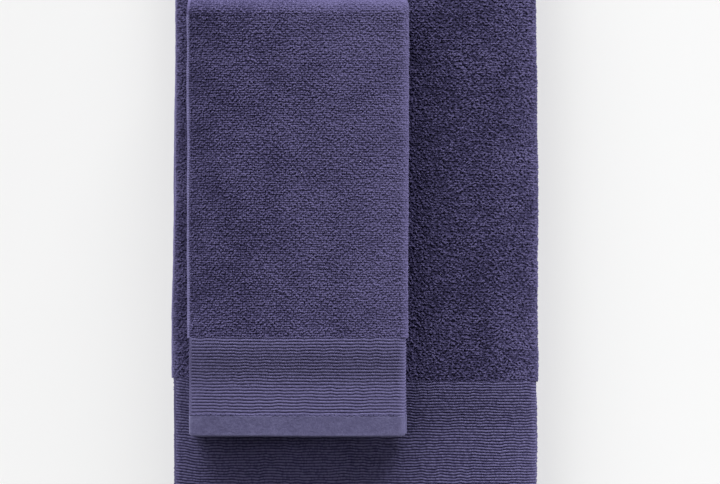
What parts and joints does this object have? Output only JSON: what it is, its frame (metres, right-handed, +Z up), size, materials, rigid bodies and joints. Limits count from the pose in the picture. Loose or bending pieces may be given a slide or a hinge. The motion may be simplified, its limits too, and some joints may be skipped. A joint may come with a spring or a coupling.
{
  "type": "bath towel set",
  "caption": "Folded terry bath towel with a folded hand towel on top, each with a ribbed border, sewn hem and bound side edges; the folds open and the hand towel lifts off.",
  "frame": {"origin": "on the surface that the set lies on, below the middle of the bath towel", "axes": "+Z up, +Y towards the crosswise folds at the back, -Y towards the hem ends, +X to the side where the bath towel shows beside the hand towel"},
  "size_m": [0.254, 0.474, 0.0627],
  "materials": {
    "terry": "looped cotton pile, dusk blue-violet, matt",
    "ribbed_border": "cotton ribs woven across the towel, matt",
    "hem": "smooth plain-woven cotton, turned under and sewn",
    "selvedge": "narrow bound side edge, plain-woven cotton",
    "sewing_thread": "spun sewing thread in the towel's colour"
  },
  "bodies": {
    "bath_towel_base": {"bath_base_terry": "terry", "bath_base_inner_selvedge": "selvedge", "bath_base_outer_selvedge": "selvedge", "bath_front_fold": "terry", "bath_tucked_terry": "terry", "bath_tucked_border": "ribbed_border", "bath_tucked_hem": "hem", "bath_tucked_hem_thread": "sewing_thread", "bath_tucked_inner_selvedge": "selvedge", "bath_tucked_outer_selvedge": "selvedge", "bath_rear_fold": "terry"},
    "bath_towel_top_leaf": {"bath_top_terry": "terry", "bath_top_border": "ribbed_border", "bath_top_hem": "hem", "bath_top_hem_thread": "sewing_thread", "bath_top_inner_selvedge": "selvedge", "bath_top_outer_selvedge": "selvedge"},
    "hand_towel_lower_leaf": {"hand_lower_terry": "terry", "hand_lower_border": "ribbed_border", "hand_lower_hem": "hem", "hand_lower_hem_thread": "sewing_thread", "hand_lower_inner_selvedge": "selvedge", "hand_lower_outer_selvedge": "selvedge", "hand_fold": "terry"},
    "hand_towel_upper_leaf": {"hand_upper_terry": "terry", "hand_upper_border": "ribbed_border", "hand_upper_hem": "hem", "hand_upper_hem_thread": "sewing_thread", "hand_upper_inner_selvedge": "selvedge", "hand_upper_outer_selvedge": "selvedge"}
  },
  "joints": [
    {"name": "bath_towel_opens", "type": "hinge", "parent": "bath_towel_base", "child": "bath_towel_top_leaf", "pos_m": [0, 0.21825, 0.01875], "axis": [-1, 0, 0], "range_deg": [0, 35], "deforming": ["bath_rear_fold"]},
    {"name": "hand_towel_lift", "type": "slide", "parent": "bath_towel_top_leaf", "child": "hand_towel_lower_leaf", "axis": [0, 0, 1], "range_m": [0, 0.15]},
    {"name": "hand_towel_opens", "type": "hinge", "parent": "hand_towel_lower_leaf", "child": "hand_towel_upper_leaf", "pos_m": [-0.0395, 0.11555, 0.05025], "axis": [-1, 0, 0], "range_deg": [0, 178], "deforming": ["hand_fold"]}
  ]
}
